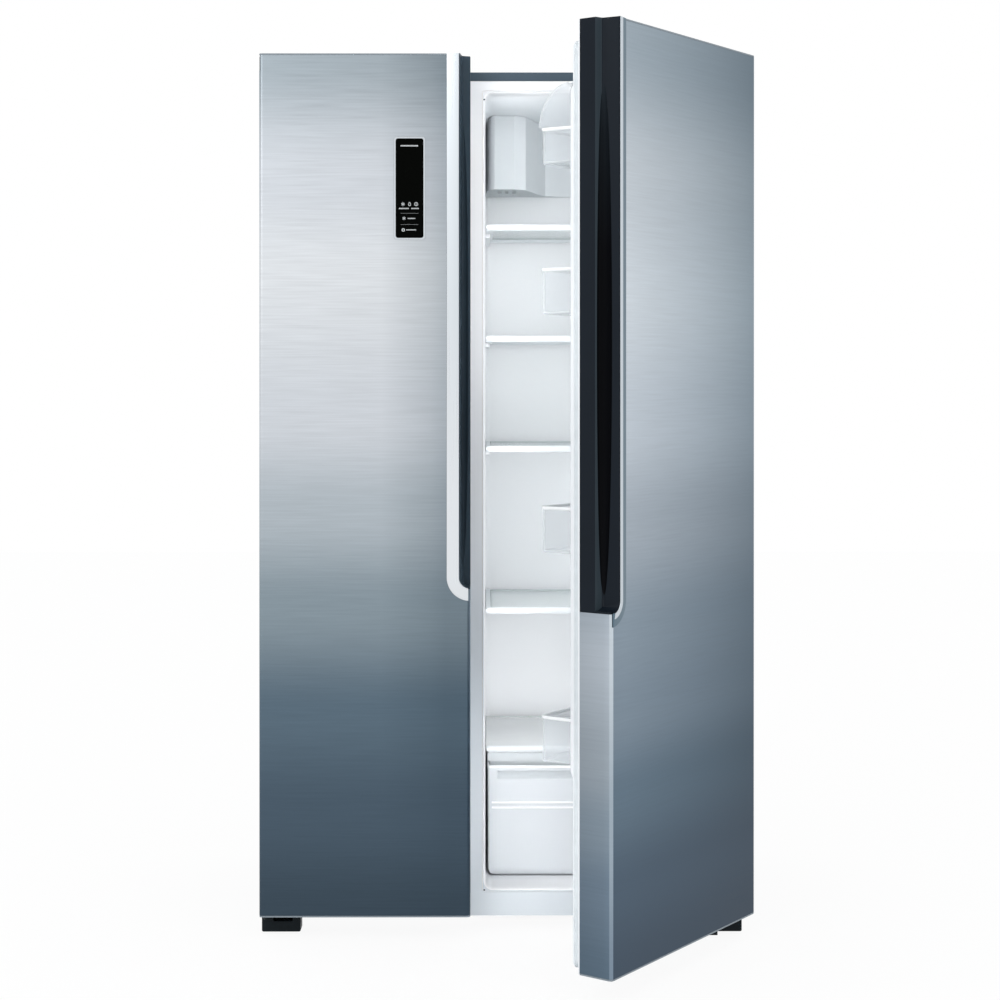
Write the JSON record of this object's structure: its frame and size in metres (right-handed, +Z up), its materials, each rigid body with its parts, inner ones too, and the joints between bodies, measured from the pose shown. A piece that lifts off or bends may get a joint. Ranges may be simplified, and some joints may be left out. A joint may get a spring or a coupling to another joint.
{
  "type": "side by side refrigerator",
  "caption": "Tall two-door refrigerator with recessed long handles, glass shelves, drawers and door bins; the fridge door stands open.",
  "frame": {"origin": "on the floor, at the middle of the ground that the appliance covers with its fridge door at rest (open)", "axes": "+Z up, the doors face -Y when shut, +X towards the fridge side"},
  "size_m": [0.9532, 1.037, 1.696],
  "materials": {
    "steel": "brushed, cool grey",
    "silver": "satin silver",
    "black_plastic": "smooth black",
    "black_glass": "polished black",
    "grey_paint": "satin slate grey",
    "grey_plastic": "fine matt",
    "white_plastic": "satin white",
    "white_paint": "satin white",
    "white_liner": "soft gloss white",
    "gasket": "matt pale grey",
    "clear_plastic": "clear",
    "tough_glass": "clear",
    "foam": "matt cream foam",
    "zinc": "zinc plated",
    "black_paint": "satin black",
    "aluminium": "bare"
  },
  "bodies": {
    "cabinet": {"outer_case": "grey_paint", "front_frame": "white_paint", "back_panel": "grey_paint", "insulation": "foam", "fridge_liner": "white_liner", "freezer_liner": "white_liner", "air_duct_cover": "white_plastic", "evaporator_cover": "white_plastic", "evaporator": "aluminium", "base_tray": "zinc", "machine_cover": "grey_paint", "compressor": "black_paint", "top_hinge_left": "zinc", "top_hinge_right": "zinc", "hinge_cover_left": "grey_plastic", "hinge_cover_right": "grey_plastic", "lower_hinge_left": "black_paint", "lower_hinge_right": "black_paint", "fridge_shelf_frame_1": "white_plastic", "fridge_shelf_glass_1": "tough_glass", "fridge_shelf_frame_2": "white_plastic", "fridge_shelf_glass_2": "tough_glass", "fridge_shelf_frame_3": "white_plastic", "fridge_shelf_glass_3": "tough_glass", "fridge_shelf_frame_4": "white_plastic", "fridge_shelf_glass_4": "tough_glass", "crisper_cover": "clear_plastic", "freezer_shelf_1": "clear_plastic", "freezer_shelf_2": "clear_plastic", "freezer_shelf_3": "clear_plastic", "freezer_shelf_4": "clear_plastic"},
    "freezer_door": {"freezer_door_panel": "steel", "freezer_door_body": "grey_plastic", "freezer_door_liner": "white_liner", "freezer_door_gasket": "gasket", "freezer_handle": "black_plastic", "freezer_handle_trim": "silver", "display_panel": "black_glass"},
    "fridge_door": {"fridge_door_panel": "steel", "fridge_door_body": "grey_plastic", "fridge_door_liner": "white_liner", "fridge_door_gasket": "gasket", "fridge_handle": "black_plastic", "fridge_handle_trim": "silver", "dairy_bin": "clear_plastic"},
    "dairy_lid": {"dairy_lid": "clear_plastic"},
    "crisper_drawer": {"crisper_drawer": "clear_plastic"},
    "freezer_drawer_upper": {"freezer_drawer_upper": "clear_plastic"},
    "freezer_drawer_lower": {"freezer_drawer_lower": "clear_plastic"},
    "foot_left": {"foot_left": "black_plastic"},
    "foot_right": {"foot_right": "black_plastic"},
    "roller_left": {"roller_left": "black_plastic"},
    "roller_right": {"roller_right": "black_plastic"},
    "condenser_fan": {"condenser_fan": "black_plastic"},
    "freezer_door_bin_1": {"freezer_door_bin_1": "clear_plastic"},
    "freezer_door_bin_2": {"freezer_door_bin_2": "clear_plastic"},
    "freezer_door_bin_3": {"freezer_door_bin_3": "clear_plastic"},
    "fridge_door_bin_1": {"fridge_door_bin_1": "clear_plastic"},
    "fridge_door_bin_2": {"fridge_door_bin_2": "clear_plastic"},
    "fridge_door_bin_3": {"fridge_door_bin_3": "clear_plastic"}
  },
  "joints": [
    {"name": "fridge_door_hinge", "type": "hinge", "parent": "cabinet", "child": "fridge_door", "pos_m": [0.4414, -0.0914, 0.044], "axis": [0, 0, 1], "range_deg": [-54, 61]},
    {"name": "freezer_door_hinge", "type": "hinge", "parent": "cabinet", "child": "freezer_door", "pos_m": [-0.4594, -0.0914, 0.044], "axis": [0, 0, -1], "range_deg": [0, 115]},
    {"name": "dairy_lid_hinge", "type": "hinge", "parent": "fridge_door", "child": "dairy_lid", "pos_m": [0.22785, -0.23834, 1.595], "axis": [0.5878, 0.809, 0], "range_deg": [0, 60]},
    {"name": "crisper_slide", "type": "slide", "parent": "cabinet", "child": "crisper_drawer", "axis": [0, -1, 0], "range_m": [0, 0.09]},
    {"name": "freezer_drawer_upper_slide", "type": "slide", "parent": "cabinet", "child": "freezer_drawer_upper", "axis": [0, -1, 0], "range_m": [0, 0.045]},
    {"name": "freezer_drawer_lower_slide", "type": "slide", "parent": "cabinet", "child": "freezer_drawer_lower", "axis": [0, -1, 0], "range_m": [0, 0.045]},
    {"name": "freezer_door_bin_1_lift", "type": "slide", "parent": "freezer_door", "child": "freezer_door_bin_1", "axis": [0, 0, 1], "range_m": [0, 0.03]},
    {"name": "freezer_door_bin_2_lift", "type": "slide", "parent": "freezer_door", "child": "freezer_door_bin_2", "axis": [0, 0, 1], "range_m": [0, 0.03]},
    {"name": "freezer_door_bin_3_lift", "type": "slide", "parent": "freezer_door", "child": "freezer_door_bin_3", "axis": [0, 0, 1], "range_m": [0, 0.03]},
    {"name": "fridge_door_bin_1_lift", "type": "slide", "parent": "fridge_door", "child": "fridge_door_bin_1", "axis": [0, 0, 1], "range_m": [0, 0.03]},
    {"name": "fridge_door_bin_2_lift", "type": "slide", "parent": "fridge_door", "child": "fridge_door_bin_2", "axis": [0, 0, 1], "range_m": [0, 0.03]},
    {"name": "fridge_door_bin_3_lift", "type": "slide", "parent": "fridge_door", "child": "fridge_door_bin_3", "axis": [0, 0, 1], "range_m": [0, 0.03]},
    {"name": "foot_left_screw", "type": "hinge", "parent": "cabinet", "child": "foot_left", "pos_m": [-0.437, -0.015, 0.009], "axis": [0, 0, 1], "continuous": true},
    {"name": "roller_left_axle", "type": "hinge", "parent": "cabinet", "child": "roller_left", "pos_m": [-0.409, 0.473, 0.017], "axis": [1, 0, 0], "continuous": true},
    {"name": "foot_right_screw", "type": "hinge", "parent": "cabinet", "child": "foot_right", "pos_m": [0.419, -0.015, 0.009], "axis": [0, 0, 1], "continuous": true},
    {"name": "roller_right_axle", "type": "hinge", "parent": "cabinet", "child": "roller_right", "pos_m": [0.391, 0.473, 0.017], "axis": [1, 0, 0], "continuous": true},
    {"name": "condenser_fan_shaft", "type": "hinge", "parent": "cabinet", "child": "condenser_fan", "pos_m": [0.071, 0.406, 0.142], "axis": [1, 0, 0], "continuous": true}
  ]
}
